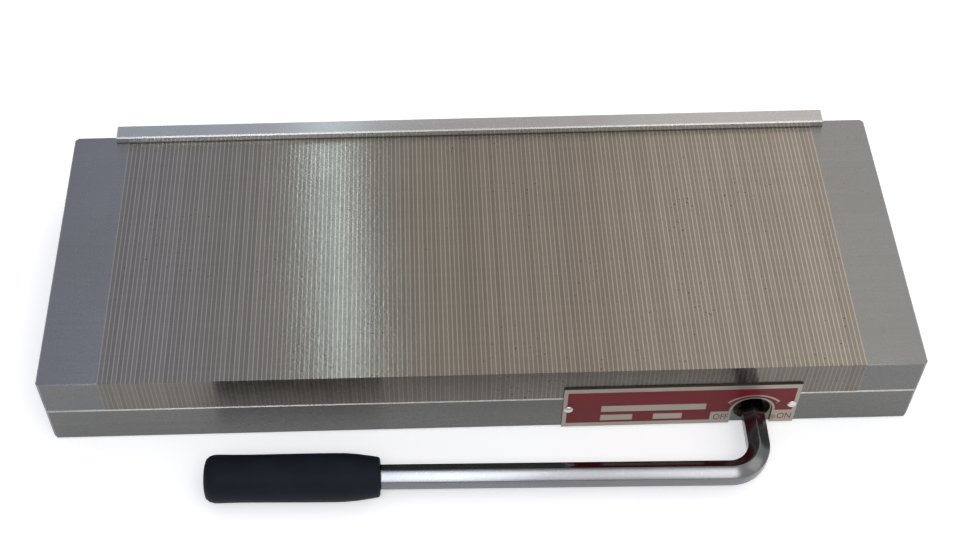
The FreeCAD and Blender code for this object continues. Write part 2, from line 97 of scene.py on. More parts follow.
# The key's bend, the rubber beyond the key's end, and the hollow in the grip's nose.
KEY_BEND_ANGLE = math.radians(90.9)
GRIP_END_WALL = 9 * MM
NOSE_WALL = 2.2 * MM
NOSE_HOLLOW = 2.5 * MM

# The outline of the grip: distance from the nose and radius, in millimetres.
GRIP_PROFILE = (
    (0.0, 8.2),
    (0.35, 8.8),
    (1.2, 9.15),
    (5.0, 9.75),
    (10.0, 10.45),
    (16.0, 10.95),
    (22.0, 11.0),
    (32.0, 10.97),
    (45.0, 10.85),
    (58.0, 10.72),
    (66.0, 10.75),
    (72.0, 10.9),
    (74.5, 10.9),
    (76.6, 10.35),
    (78.2, 9.1),
    (78.8, 7.2),
    (79.0, 4.0),
)


# Settings


def length(name, text, default, low=0.0, high=1.0):
    """A length that a user can change, in metres."""
    return bpy.props.FloatProperty(
        name=name, description=text, default=default, min=low, max=high, unit="LENGTH", precision=5
    )


def colour(name, text, default):
    """A colour that a user can change, as linear red, green and blue."""
    return bpy.props.FloatVectorProperty(
        name=name, description=text, default=default, min=0.0, max=1.0, size=3, subtype="COLOR"
    )


class ChuckSizes(bpy.types.PropertyGroup):
    """Sizes of the pieces that are modelled here."""

    strip_pitch: length("Strip pitch", "From one steel strip of the working face to the next", 2.1 * MM)
    enamel_side: length("Enamel side border", "Bare metal at the ends of the enamel", 1.9 * MM)
    enamel_edge: length("Enamel edge border", "Bare metal above and below the enamel", 3.1 * MM)
    enamel_thickness: length("Enamel thickness", "How far the enamel stands off the plate", 0.05 * MM)
    arch_radius: length("Arch radius", "From the cam axis to the enamel", 10.5 * MM)
    arrow_radius: length("Arrow radius", "Radius of the turning arrow", 15.2 * MM)
    arrow_drop: length("Arrow drop", "Centre of the turning arrow below the cam axis", 3.1 * MM)
    arrow_width: length("Arrow width", "Width of the turning arrow's line", 1.1 * MM)
    word_height: length("Word height", "Height of the switch words", 4.7 * MM)
    key_across_flats: length("Key size", "Across the flats of the hexagon key", 10.0 * MM)
    key_bend_radius: length("Key bend radius", "From the bend's centre to the key's axis", 14.5 * MM)
    key_standoff: length("Key standoff", "From the chuck's front to the long leg's axis", 34.0 * MM)
    key_long_leg: length("Key long leg", "From the end of the bend to the end of the grip", 236.8 * MM)
    key_edge_round: length("Key edge round", "Rounding of the key's long edges", 0.45 * MM)
    grip_length: length("Grip length", "Overall length of the grip", 79.0 * MM)
    grip_radius: length("Grip radius", "Radius of the grip at its thickest", 11.0 * MM)


class ChuckColours(bpy.types.PropertyGroup):
    """Colours of the finishes."""

    base_steel: colour("Base steel", "Ground steel of the base", (0.235, 0.235, 0.228))
    block_steel: colour("Block steel", "Ground steel of the end blocks", (0.262, 0.262, 0.262))
    strip_steel: colour("Strip steel", "Ground steel strips of the working face", (0.256, 0.229, 0.203))
    separator_brass: colour("Separator brass", "Brass between the strips", (0.42, 0.395, 0.335))
    rail_steel: colour("Rail steel", "Bright stop rail", (0.48, 0.48, 0.48))
    key_plating: colour("Key plating", "Plated steel of the key", (0.168, 0.17, 0.182))
    grip_rubber: colour("Grip rubber", "Moulded rubber of the grip", (0.0055, 0.0085, 0.0135))
    enamel: colour("Enamel", "Crimson enamel of the nameplate", (0.135, 0.009, 0.013))
    plate_metal: colour("Plate metal", "Bare metal of the nameplate", (0.33, 0.29, 0.245))
    bronze: colour("Bronze", "Bush, fork and slide strips", (0.36, 0.22, 0.09))
    dark_steel: colour("Dark steel", "Oiled and blackened steel", (0.045, 0.045, 0.05))
    magnet: colour("Magnet", "Sintered magnet tiles", (0.06, 0.06, 0.065))
    frame_aluminium: colour("Frame aluminium", "Frame of the magnet pack", (0.55, 0.56, 0.57))
    keeper_steel: colour("Keeper steel", "Keeper of the magnet pack", (0.20, 0.20, 0.20))
    rivet_metal: colour("Rivet metal", "Heads of the drive rivets", (0.62, 0.61, 0.59))
    dark_print: colour("Dark print", "Word of the off position", (0.075, 0.062, 0.052))
    red_print: colour("Red print", "Word of the on position", (0.13, 0.022, 0.020))
    # Painted highlight on the base's upper edge.
    worn_edge: colour("Worn edge", "Bright upper edge of the base", (0.48, 0.48, 0.45))
    pits: colour("Pits", "Pits and rust specks in ground steel", (0.03, 0.026, 0.022))
    # Painted shadow on the stop rail's foot.
    grime: colour("Grime", "Dirt on the foot of the stop rail", (0.03, 0.03, 0.028))
    glue: colour("Glue", "Dried glue on the nameplate", (0.17, 0.13, 0.04))
    # Painted gap shadow, with some dirt, on the nameplate's rim.
    rim_dirt: colour("Rim dirt", "Dirt on the rim of the nameplate", (0.025, 0.022, 0.018))
    floor: colour("Floor", "Floor of the studio", (0.93, 0.93, 0.93))


def sizes():
    """The scene's sizes."""
    return bpy.context.scene.chuck_sizes


def shade(name):
    """One of the scene's colours, as red, green and blue."""
    return tuple(getattr(bpy.context.scene.chuck_colours, name))


# Node trees


def feed(tree, socket, value):
    """Links a socket to another one, or sets its value."""
    if isinstance(value, bpy.types.NodeSocket):
        tree.links.new(value, socket)
    else:
        socket.default_value = value


def add_node(tree, kind, inputs=None, **settings):
    """A node with its settings and its inputs, each of them linked or set."""
    made = tree.nodes.new(kind)
    for name, value in settings.items():
        setattr(made, name, value)
    for name, value in (inputs or {}).items():
        feed(tree, made.inputs[name], value)
    return made


def set_stops(ramp, stops):
    """Gives a colour ramp its stops, as (position, colour)."""
    elements = ramp.color_ramp.elements
    while len(elements) > 1:
        elements.remove(elements[-1])
    for index, (position, value) in enumerate(stops):
        element = elements[0] if index == 0 else elements.new(position)
        element.position = position
        element.color = (*value, 1)


def maths(tree, operation, first, second=0.0, third=0.0):
    """The output of a Math node."""
    return add_node(tree, "ShaderNodeMath", {0: first, 1: second, 2: third}, operation=operation).outputs[0]


def swung(tree, value, amount, middle=1.0):
    """A value from 0 to 1 turned into a swing of an amount round a middle."""
    return maths(tree, "MULTIPLY_ADD", maths(tree, "SUBTRACT", value, 0.5), amount, middle)


def ranged(tree, value, start, end, low=0.0, high=1.0):
    """A value mapped from one range to another, and kept inside it."""
    limits = {"Value": value, "From Min": start, "From Max": end, "To Min": low, "To Max": high}
    return add_node(tree, "ShaderNodeMapRange", limits).outputs[0]


def axes(tree, vector):
    """The X, Y and Z outputs of a vector."""
    return add_node(tree, "ShaderNodeSeparateXYZ", {0: vector}).outputs


def coordinates(tree, kind):
    """One output of a Texture Coordinate node."""
    return tree.nodes.new("ShaderNodeTexCoord").outputs[kind]


def mixed(tree, factor, first, second, blend="MIX"):
    """The colour output of a Mix node."""
    made = add_node(tree, "ShaderNodeMix", data_type="RGBA", blend_type=blend)
    feed(tree, made.inputs[0], factor)
    for socket, value in ((made.inputs[6], first), (made.inputs[7], second)):
        feed(tree, socket, value if isinstance(value, bpy.types.NodeSocket) else (*value, 1))
    return made.outputs[2]


def new_group(name, inputs, outputs):
    """An empty node group with float, vector or colour sockets, and its input and output nodes."""
    kinds = {"float": "NodeSocketFloat", "vector": "NodeSocketVector", "colour": "NodeSocketColor"}
    group = bpy.data.node_groups.new(name, "ShaderNodeTree")
    for label, kind, default in inputs:
        socket = group.interface.new_socket(name=label, in_out="INPUT", socket_type=kinds[kind])
        if default is not None:
            socket.default_value = default
    for label, kind in outputs:
        group.interface.new_socket(name=label, in_out="OUTPUT", socket_type=kinds[kind])
    return group, group.nodes.new("NodeGroupInput"), group.nodes.new("NodeGroupOutput")


def noise(tree, vector, scale, detail=3.0, roughness=0.55):
    """The value of a Noise texture."""
    inputs = {"Vector": vector, "Scale": scale, "Detail": detail, "Roughness": roughness}
    return add_node(tree, "ShaderNodeTexNoise", inputs).outputs[0]


def stretched(tree, vector, scale):
    """The vector times a scale for each axis."""
    return add_node(tree, "ShaderNodeVectorMath", {0: vector, 1: scale}, operation="MULTIPLY").outputs[0]


def grinding_group():
    """Fine lines of a surface grinder, along X: a tone round 1, a roughness and a height."""
    inputs = [
        ("Vector", "vector", None),
        ("Tone", "float", 0.1),
        ("Roughness", "float", 0.2),
        ("Speckle", "float", 0.5),
    ]
    group, entry, exit_node = new_group(
        "Grinding lines", inputs, [("Tone", "float"), ("Roughness", "float"), ("Height", "float")]
    )
    vector = entry.outputs["Vector"]
    coarse = noise(group, stretched(group, vector, (9, 420, 420)), 1.0, 2.0)
    fine = noise(group, stretched(group, vector, (45, 2600, 2600)), 1.0, 2.0)
    patches = noise(group, vector, 26.0, 4.0)
    grit = noise(group, stretched(group, vector, (600, 1100, 1100)), 1.0, 2.0)
    speckle = maths(group, "SUBTRACT", grit, 0.5)
    lines = maths(group, "ADD", maths(group, "MULTIPLY", coarse, 0.55), maths(group, "MULTIPLY", fine, 0.45))
    both = maths(group, "ADD", maths(group, "MULTIPLY", lines, 0.7), maths(group, "MULTIPLY", patches, 0.3))
    rough = swung(group, patches, 0.12, entry.outputs["Roughness"])
    rough = maths(group, "MULTIPLY_ADD", speckle, 0.14, rough)
    ridges = maths(group, "MULTIPLY", lines, 0.2)
    height = maths(group, "MULTIPLY_ADD", speckle, entry.outputs["Speckle"], ridges)
    group.links.new(swung(group, both, entry.outputs["Tone"]), exit_node.inputs["Tone"])
    group.links.new(rough, exit_node.inputs["Roughness"])
    group.links.new(height, exit_node.inputs["Height"])
    return group


def pits_group():
    """Clusters of small dark pits and rust specks, as a mask, with a soft stain mask."""
    inputs = [("Vector", "vector", None), ("Scale", "float", 420.0), ("Amount", "float", 0.12)]
    group, entry, exit_node = new_group("Pits and stains", inputs, [("Pits", "float"), ("Stain", "float")])
    vector = entry.outputs["Vector"]
    cells = add_node(
        group,
        "ShaderNodeTexVoronoi",
        {"Vector": vector, "Scale": entry.outputs["Scale"], "Randomness": 1.0},
        feature="F1",
    )
    chance = add_node(group, "ShaderNodeTexWhiteNoise", {"Vector": cells.outputs["Position"]})
    spread = ranged(group, noise(group, vector, 18.0, 3.0), 0.36, 0.64, 0.0, 2.0)
    share = maths(group, "MULTIPLY", entry.outputs["Amount"], spread)
    wanted = maths(group, "LESS_THAN", chance.outputs["Value"], share)
    size = maths(group, "MULTIPLY_ADD", chance.outputs["Value"], 0.2, 0.05)
    near = maths(group, "LESS_THAN", cells.outputs["Distance"], size)
    cloud = noise(group, vector, 14.0, 5.0, 0.6)
    group.links.new(maths(group, "MULTIPLY", wanted, near), exit_node.inputs["Pits"])
    group.links.new(ranged(group, cloud, 0.52, 0.72), exit_node.inputs["Stain"])
    return group


def scuffs_group():
    """Handling marks: thin scratches in two directions, a fine grain and smudges."""
    inputs = [("Vector", "vector", None), ("Grain scale", "float", 900.0)]
    group, entry, exit_node = new_group(
        "Handling marks", inputs, [("Scratches", "float"), ("Grain", "float"), ("Smudge", "float")]
    )
    vector = entry.outputs["Vector"]
    tilted = add_node(group, "ShaderNodeMapping", {"Vector": vector, "Rotation": (0.35, 0.6, 0.9)})
    masks = []
    for source in (vector, tilted.outputs[0]):
        streaks = noise(group, stretched(group, source, (30, 1100, 900)), 1.0, 1.0)
        masks.append(maths(group, "GREATER_THAN", streaks, 0.70))
    group.links.new(maths(group, "MAXIMUM", *masks), exit_node.inputs["Scratches"])
    group.links.new(noise(group, vector, entry.outputs["Grain scale"], 3.0), exit_node.inputs["Grain"])
    group.links.new(noise(group, vector, 60.0, 4.0), exit_node.inputs["Smudge"])
    return group


def sides_group():
    """A mask that is 1 on upright sides and 0 on level faces."""
    group, entry, exit_node = new_group("Upright sides", [("Normal", "vector", None)], [("Mask", "float")])
    level = maths(group, "ABSOLUTE", axes(group, entry.outputs["Normal"])["Z"])
    group.links.new(ranged(group, level, 0.85, 0.35), exit_node.inputs["Mask"])
    return group


def strip_tone_group():
    """A slightly different tone for each strip of the working face, counted along X."""
    inputs = [("Vector", "vector", None), ("Pitch", "float", 0.0021), ("Tone", "float", 0.1)]
    group, entry, exit_node = new_group("Strip tone", inputs, [("Tone", "float")])
    along_x = axes(group, entry.outputs["Vector"])["X"]
    count = maths(group, "FLOOR", maths(group, "DIVIDE", along_x, entry.outputs["Pitch"]))
    chance = add_node(group, "ShaderNodeTexWhiteNoise", {"W": count}, noise_dimensions="1D")
    tone = swung(group, chance.outputs["Value"], entry.outputs["Tone"])
    group.links.new(tone, exit_node.inputs["Tone"])
    return group


GROUP_MAKERS = {
    "Grinding lines": grinding_group,
    "Pits and stains": pits_group,
    "Handling marks": scuffs_group,
    "Upright sides": sides_group,
    "Strip tone": strip_tone_group,
}


def effect(tree, name, inputs):
    """The outputs of a shared effect, placed in a material with its own values."""
    made = tree.nodes.new("ShaderNodeGroup")
    made.node_tree = bpy.data.node_groups.get(name) or GROUP_MAKERS[name]()
    for label, value in inputs.items():
        feed(tree, made.inputs[label], value)
    return made.outputs


# Materials


def new_material(name, **values):
    """A material, its tree, its Principled shader and the Object coordinates."""
    material = bpy.data.materials.new(name)
    material.use_nodes = True
    tree = material.node_tree
    shader = tree.nodes["Principled BSDF"]
    for label, value in values.items():
        shader.inputs[label.replace("_", " ")].default_value = value
    return material, tree, shader, coordinates(tree, "Object")


def set_surface(tree, shader, surface, rough):
    """Gives a shader its colour and its roughness."""
    tree.links.new(surface, shader.inputs["Base Color"])
    tree.links.new(rough, shader.inputs["Roughness"])


def bump(tree, shader, height, strength, distance):
    """Raises a surface by a height."""
    made = add_node(tree, "ShaderNodeBump", {"Height": height, "Strength": strength, "Distance": distance})
    tree.links.new(made.outputs[0], shader.inputs["Normal"])


def toned(tree, base, tone):
    """A colour made lighter or darker by a tone round 1."""
    grey = add_node(tree, "ShaderNodeCombineColor", {0: tone, 1: tone, 2: tone})
    return mixed(tree, 1.0, base, grey.outputs[0], "MULTIPLY")


def across_x(tree, shader):
    """Turns the gloss so that it stretches square to the grinding lines, which run along X."""
    tangent = add_node(tree, "ShaderNodeTangent", direction_type="RADIAL", axis="X")
    tree.links.new(tangent.outputs[0], shader.inputs["Tangent"])


def paint_over(material, mask, over):
    """Mixes a colour over a material's own one where a mask is 1."""
    tree = material.node_tree
    socket = tree.nodes["Principled BSDF"].inputs["Base Color"]
    under = socket.links[0].from_socket
    tree.links.new(mixed(tree, mask, under, over), socket)


def ground_steel(name, base, roughness, tone, side, speckle, strip_tone=0.0, stain=0.25, pits=0.10):
    """Surface-ground steel with pits, light stains, painted shade that darkens its upright sides by the side
    factor, and a gloss that stretches.
    """
    material, tree, shader, place = new_material(name, Metallic=1.0, Anisotropic=1.0)
    lines = effect(
        tree, "Grinding lines", {"Vector": place, "Tone": tone, "Roughness": roughness, "Speckle": speckle}
    )
    marks = effect(tree, "Pits and stains", {"Vector": place, "Amount": pits})
    upright = effect(tree, "Upright sides", {"Normal": coordinates(tree, "Normal")})["Mask"]
    surface = toned(tree, base, lines["Tone"])
    # Painted shade: upright sides are darkened by the side factor.
    surface = toned(tree, surface, maths(tree, "MULTIPLY_ADD", upright, side - 1.0, 1.0))
    if strip_tone:
        pitch = sizes().strip_pitch
        strips = effect(tree, "Strip tone", {"Vector": place, "Pitch": pitch, "Tone": strip_tone})
        surface = toned(tree, surface, strips["Tone"])
    stained = tuple(part * share for part, share in zip(base, (0.80, 0.76, 0.70)))
    surface = mixed(tree, maths(tree, "MULTIPLY", marks["Stain"], stain), surface, stained)
    surface = mixed(tree, maths(tree, "MULTIPLY", marks["Pits"], 0.6), surface, shade("pits"))
    set_surface(tree, shader, surface, maths(tree, "MULTIPLY_ADD", marks["Pits"], 0.3, lines["Roughness"]))
    across_x(tree, shader)
    bump(tree, shader, lines["Height"], 0.5, 0.06 * MM)
    return material


def worn_metal(name, base, roughness, grain=900.0, scratch=1.35, smudge=0.2, strength=0.2):
    """Plain, turned or plated metal with a fine grain, smudges and thin scratches."""
    material, tree, shader, place = new_material(name, Metallic=1.0)
    marks = effect(tree, "Handling marks", {"Vector": place, "Grain scale": grain})
    surface = toned(tree, base, swung(tree, marks["Smudge"], smudge))
    bright = tuple(min(1.0, part * scratch) for part in base)
    surface = mixed(tree, maths(tree, "MULTIPLY", marks["Scratches"], 0.5), surface, bright)
    set_surface(tree, shader, surface, swung(tree, marks["Smudge"], 0.15, roughness))
    bump(tree, shader, marks["Grain"], strength, 0.02 * MM)
    return material


def painted_edge_highlight(material):
    """Brightens the upper edge of the base on its front and rear: a painted highlight, made patchy with
    noise.
    """
    tree = material.node_tree
    place = coordinates(tree, "Object")
    parted = axes(tree, place)
    above = maths(tree, "GREATER_THAN", parted["Z"], BASE_HIGH.z - EDGE_HEIGHT)
    outside = maths(tree, "GREATER_THAN", maths(tree, "ABSOLUTE", parted["Y"]), BASE_HIGH.y - EDGE_DEPTH)
    highlight_breakup = maths(tree, "MULTIPLY_ADD", noise(tree, place, 220.0, 3.0), 0.7, 0.45)
    mask = maths(tree, "MULTIPLY", maths(tree, "MULTIPLY", above, outside), highlight_breakup)
    paint_over(material, mask, shade("worn_edge"))


def painted_foot_shadow(material):
    """Darkens the stop rail's front just above the working face: a painted shadow where the rail meets the
    face.
    """
    tree = material.node_tree
    parted = axes(tree, coordinates(tree, "Object"))
    foot = ranged(tree, parted["Z"], FACE_Z + FOOT_SHADOW_TOP, FACE_Z + FOOT_SHADOW_FULL)
    front = maths(tree, "LESS_THAN", parted["Y"], RAIL_FRONT_Y + 0.1 * MM)
    mask = maths(tree, "MULTIPLY", maths(tree, "MULTIPLY", foot, front), 0.8)
    paint_over(material, mask, shade("grime"))


def plate_metal_material():
    """Bare, slightly dull plate metal, with dried glue beside the word on the right, and a painted gap shadow
    with some dirt on its rim.
    """
    material, tree, shader, place = new_material("Plate metal", Metallic=0.6)
    marks = effect(tree, "Handling marks", {"Vector": place, "Grain scale": 1500.0})
    surface = toned(tree, shade("plate_metal"), swung(tree, marks["Smudge"], 0.35))
    away = add_node(tree, "ShaderNodeVectorMath", {0: place, 1: GLUE_CENTRE}, operation="DISTANCE")
    ragged = maths(tree, "MULTIPLY_ADD", marks["Grain"], 1.5 * MM, away.outputs["Value"])
    glue = ranged(tree, ragged, GLUE_EDGE, GLUE_CORE, 0.0, 0.75)
    surface = mixed(tree, glue, surface, shade("glue"))
    # Painted gap shadow with some dirt: the plate's edge faces are darkened.
    turned_away = maths(tree, "ABSOLUTE", axes(tree, coordinates(tree, "Normal"))["Y"])
    rim = maths(tree, "LESS_THAN", turned_away, 0.5)
    surface = mixed(tree, maths(tree, "MULTIPLY", rim, 0.9), surface, shade("rim_dirt"))
    set_surface(tree, shader, surface, maths(tree, "MULTIPLY_ADD", marks["Smudge"], 0.2, 0.32))
    bump(tree, shader, marks["Grain"], 0.2, 0.02 * MM)
    return material


def enamel_material(name, base, smear=0.5):
    """Baked enamel with a low sheen, a fine grain and a patchy depth of colour."""
    material, tree, shader, place = new_material(
        name, Coat_Weight=0.05, Coat_Roughness=0.2, Specular_IOR_Level=0.12
    )
    marks = effect(tree, "Handling marks", {"Vector": place, "Grain scale": 700.0})
    surface = toned(tree, base, swung(tree, marks["Smudge"], smear))
    bright = tuple(part * 2.0 for part in base)
    surface = mixed(tree, maths(tree, "MULTIPLY", marks["Scratches"], 0.12), surface, bright)
    set_surface(tree, shader, surface, maths(tree, "MULTIPLY_ADD", marks["Smudge"], 0.2, 0.32))
    bump(tree, shader, marks["Grain"], 0.15, 0.03 * MM)
    return material


def key_material():
    """Plated steel with a soft gloss, a faint grain, smudges and thin scratches."""
    return worn_metal(
        "Key plating", shade("key_plating"), 0.17, grain=700.0, scratch=1.3, smudge=0.25, strength=0.05
    )


def rubber_material():
    """Soft black rubber with a fine leathery grain, smudges and a dusty bloom."""
    material, tree, shader, place = new_material("Grip rubber", Specular_IOR_Level=0.12)
    marks = effect(tree, "Handling marks", {"Vector": place, "Grain scale": 1100.0})
    base = shade("grip_rubber")
    surface = toned(tree, base, swung(tree, marks["Smudge"], 1.1))
    bloom = maths(tree, "MULTIPLY", maths(tree, "GREATER_THAN", marks["Grain"], 0.62), 0.15)
    surface = mixed(tree, bloom, surface, tuple(part * 2.4 for part in base))
    set_surface(tree, shader, surface, maths(tree, "MULTIPLY_ADD", marks["Smudge"], 0.25, 0.5))
    bump(tree, shader, marks["Grain"], 0.35, 0.06 * MM)
    return material


def paint(piece, material):
    """Gives a piece one material."""
    piece.data.materials.clear()
    piece.data.materials.append(material)


def finish_nodes(material, *names):
    """Gives solid parts a material."""
    for name in names:
        paint(NODES[name], material)


# Modelling


def start_clean():
    """Leaves edit mode and selects nothing."""
    if bpy.context.object and bpy.context.object.mode != "OBJECT":
        bpy.ops.object.mode_set(mode="OBJECT")
    bpy.ops.object.select_all(action="DESELECT")


def only(piece):
    """Makes one piece the selected and active one."""
    start_clean()
    piece.select_set(True)
    bpy.context.view_layer.objects.active = piece


def settle(piece):
    """Puts a piece's place into its mesh and leaves its object at the origin."""
    only(piece)
    bpy.ops.object.transform_apply(location=True, rotation=True, scale=True)


def box_piece(name, low, high):
    """A box from a cube primitive, between two corners."""
    start_clean()
    low, high = Vector(low), Vector(high)
    bpy.ops.mesh.primitive_cube_add(size=1.0, location=(low + high) / 2)
    piece = bpy.context.object
    piece.name = name
    piece.scale = high - low
    settle(piece)
    return piece


def edit(piece, kind="VERT"):
    """Starts edit mode with nothing selected."""
    only(piece)
    bpy.ops.object.mode_set(mode="EDIT")
    bpy.ops.mesh.select_mode(type=kind)
    bpy.ops.mesh.select_all(action="DESELECT")


def select_where(piece, what, test):
    """Selects the edges or faces that pass a test."""
    bpy.ops.object.mode_set(mode="OBJECT")
    mesh = piece.data
    for part in getattr(mesh, what):
        part.select = bool(test(mesh, part))
    bpy.ops.object.mode_set(mode="EDIT")


def along(direction):
    """A test for edges that run along a direction."""

    def test(mesh, part):
        ends = [mesh.vertices[index].co for index in part.vertices]
        span = (ends[1] - ends[0]).normalized()
        return abs(span.dot(direction)) > 0.999

    return test


def facing(direction):
    """A test for faces that look in a direction."""

    def test(mesh, part):
        return part.normal.dot(direction) > 0.999

    return test


def apply_modifier(piece, kind, name, **settings):
    """Adds a modifier, sets it and applies it."""
    only(piece)
    modifier = piece.modifiers.new(name, kind)
    for label, value in settings.items():
        setattr(modifier, label, value)
    bpy.ops.object.modifier_apply(modifier=modifier.name)


def cut(piece, cutters):
    """Takes the cutters out of a piece and removes them."""
    for cutter in cutters:
        apply_modifier(piece, "BOOLEAN", "Cut", operation="DIFFERENCE", solver="EXACT", object=cutter)
        bpy.data.objects.remove(cutter)


def close_seams(piece):
    """Merges doubled vertices and turns every face outwards."""
    edit(piece, "VERT")
    bpy.ops.mesh.select_all(action="SELECT")
    bpy.ops.mesh.remove_doubles(threshold=0.000001)
    bpy.ops.mesh.normals_make_consistent(inside=False)
    bpy.ops.object.mode_set(mode="OBJECT")


def smooth(piece, angle=30):
    """Smooth shading with sharp edges kept."""
    only(piece)
    bpy.ops.object.shade_smooth_by_angle(angle=math.radians(angle))


def dress(piece, material, body):
    """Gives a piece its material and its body."""
    paint(piece, material)
    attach(piece, body)


# Operators


class GroundSteel(bpy.types.Operator):
    """Finishes the base and the end blocks as ground steel"""

    bl_idname = "chuck.ground_steel"
    bl_label = "Base and end blocks"

    def execute(self, context):
        base = ground_steel(
            "Base steel", shade("base_steel"), 0.28, tone=0.35, side=0.63, speckle=0.05, stain=0.35
        )
        painted_edge_highlight(base)
        block = ground_steel(
            "Block steel", shade("block_steel"), 0.28, tone=0.22, side=0.60, speckle=0.05, stain=0.2, pits=0.2
        )
        finish_nodes(base, "base_housing")
        finish_nodes(block, "end_block_left", "end_block_right")
        return {"FINISHED"}


class WorkingFace(bpy.types.Operator):
    """Finishes the steel strips and the brass between them"""

    bl_idname = "chuck.working_face"
    bl_label = "Working face"

    def execute(self, context):
        steel = ground_steel(
            "Strip steel",
            shade("strip_steel"),
            0.165,
            tone=0.3,
            side=0.54,
            speckle=1.5,
            strip_tone=0.16,
            pits=0.45,
        )
        brass = ground_steel(
            "Separator brass",
            shade("separator_brass"),
            0.18,
            tone=0.3,
            side=0.45,
            speckle=1.5,
            strip_tone=0.2,
            pits=0.15,
        )
        finish_nodes(steel, "steel_laminations")
        finish_nodes(brass, "brass_separators")
        return {"FINISHED"}


class StopRail(bpy.types.Operator):
    """Finishes the stop rail as bright ground steel with a painted shadow along its foot"""

    bl_idname = "chuck.stop_rail"
    bl_label = "Stop rail"

    def execute(self, context):
        rail = ground_steel(
            "Rail steel", shade("rail_steel"), 0.28, tone=0.3, side=0.72, speckle=0.0, stain=0.15, pits=0.08
        )
        painted_foot_shadow(rail)
        finish_nodes(rail, "back_stop_rail")
        return {"FINISHED"}


class Fasteners(bpy.types.Operator):
    """Finishes the screws"""

    bl_idname = "chuck.fasteners"
    bl_label = "Screws"

    def execute(self, context):
        black = worn_metal("Blackened screws", shade("dark_steel"), 0.42, scratch=3.0, strength=0.3)
        finish_nodes(black, "plate_screws", "rail_screws", "dog_screw")
        return {"FINISHED"}


class CamParts(bpy.types.Operator):
    """Finishes the cam shaft and its bush"""

    bl_idname = "chuck.cam_parts"
    bl_label = "Cam shaft and bush"

    def execute(self, context):
        finish_nodes(worn_metal("Cam shaft steel", shade("dark_steel"), 0.35, scratch=2.5), "cam_shaft")
        # The bush's bronze darkened to a third: painted shade inside the cam bore.
        shaded_bronze = tuple(part * 0.3 for part in shade("bronze"))
        finish_nodes(worn_metal("Oiled bush bronze", shaded_bronze, 0.36), "cam_bush")
        return {"FINISHED"}


class InnerParts(bpy.types.Operator):
    """Finishes the magnet pack, its fork and the strips it slides on"""

    bl_idname = "chuck.inner_parts"
    bl_label = "Inner parts"

    def execute(self, context):
        bronze = worn_metal("Sliding bronze", shade("bronze"), 0.34, smudge=0.35)
        finish_nodes(bronze, "slide_strip_front", "slide_strip_rear", "follower_fork")
        aluminium = worn_metal("Frame aluminium", shade("frame_aluminium"), 0.35, grain=600.0)
        finish_nodes(aluminium, "pack_frame")
        finish_nodes(worn_metal("Keeper steel", shade("keeper_steel"), 0.4, smudge=0.4), "pack_keeper")
        finish_nodes(worn_metal("Magnet", shade("magnet"), 0.55, grain=1800.0), "magnet_tiles")
        return {"FINISHED"}


class Nameplate(bpy.types.Operator):
    """Finishes the nameplate's bare metal"""

    bl_idname = "chuck.nameplate"
    bl_label = "Nameplate"

    def execute(self, context):
        finish_nodes(plate_metal_material(), "nameplate")
        return {"FINISHED"}


def cutter_box(low_x, high_x, low_z, high_z):
    """A cutter right through the enamel, in millimetres along the chuck and up."""
    depth = 2 * MM
    middle = PLATE_LOW.y
    return box_piece(
        "Cutter", (low_x * MM, middle - depth, low_z * MM), (high_x * MM, middle + depth, high_z * MM)
    )


def arch_cutter(radius):
    """A cutter for the arch round the cam bore, as a turned disc with a block for its open foot."""
    start_clean()
    bpy.ops.mesh.primitive_cylinder_add(
        vertices=72,
        radius=radius,
        depth=4 * MM,
        location=(CAM_X, PLATE_LOW.y, CAM_Z),
        rotation=(math.pi / 2, 0, 0),
    )
    disc = bpy.context.object
    settle(disc)
    foot = cutter_box((CAM_X - radius) / MM, (CAM_X + radius) / MM, -3, CAM_Z / MM)
    return [disc, foot]


def plate_sheet(name, thickness):
    """A thin sheet on the nameplate's face, inside its bare border, with softened corners."""
    low = (PLATE_LOW.x + sizes().enamel_side, PLATE_LOW.y - thickness, PLATE_LOW.z + sizes().enamel_edge)
    high = (PLATE_HIGH.x - sizes().enamel_side, PLATE_LOW.y + 0.02 * MM, PLATE_HIGH.z - sizes().enamel_edge)
    sheet = box_piece(name, low, high)
    edit(sheet, "EDGE")
    select_where(sheet, "edges", along(Vector((0, 1, 0))))
    bpy.ops.mesh.bevel(offset=0.5 * MM, segments=4, affect="EDGES")
    bpy.ops.object.mode_set(mode="OBJECT")
    return sheet


class Enamel(bpy.types.Operator):
    """Models the crimson enamel field of the nameplate, cut away round its bare panels"""

    bl_idname = "chuck.enamel"
    bl_label = "Enamel"

    def execute(self, context):
        sheet = plate_sheet("nameplate_enamel", sizes().enamel_thickness)
        panels = [cutter_box(*panel) for panel in (TITLE_PANEL, MODEL_PANEL, DATE_PANEL, OFF_PANEL, ON_PANEL)]
        cut(sheet, panels + arch_cutter(sizes().arch_radius))
        smooth(sheet)
        dress(sheet, enamel_material("Crimson enamel", shade("enamel")), "chuck_body")
        return {"FINISHED"}


